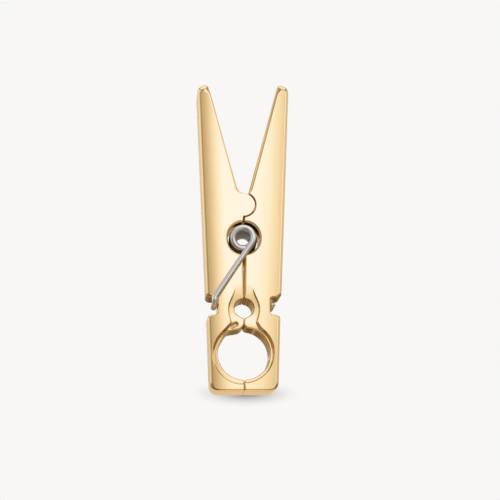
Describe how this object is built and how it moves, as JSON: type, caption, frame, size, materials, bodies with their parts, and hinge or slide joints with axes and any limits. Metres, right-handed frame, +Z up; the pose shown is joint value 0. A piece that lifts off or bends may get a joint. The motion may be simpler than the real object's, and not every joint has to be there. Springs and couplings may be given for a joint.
{
  "type": "clothespin",
  "caption": "Spring clothespin of two polished metal levers with tapered handles, a rolling knuckle, a coil spring with hooked legs and round jaw holes that grip a line.",
  "frame": {"origin": "under the middle of the closed jaws, on the plane of the jaw ends", "axes": "+Z up the length from the jaw ends to the handle tips, X across the two levers with the right lever on +X, Y through the thickness with the front face on -Y"},
  "size_m": [0.022, 0.0158, 0.074],
  "materials": {
    "lever_metal": "mirror polished yellow gold colour",
    "spring_wire": "bright drawn wire"
  },
  "bodies": {
    "left_lever": {"left_lever": "lever_metal", "torsion_spring": "spring_wire"},
    "right_lever": {"right_lever": "lever_metal"}
  },
  "joints": [
    {"name": "jaw_hinge", "type": "hinge", "parent": "left_lever", "child": "right_lever", "pos_m": [0, 0, 0.0446], "axis": [0, -1, 0], "range_deg": [0, 24], "stiffness_Nm_per_rad": 0.3, "springref_deg": -34.38, "deforming": ["torsion_spring"]}
  ]
}
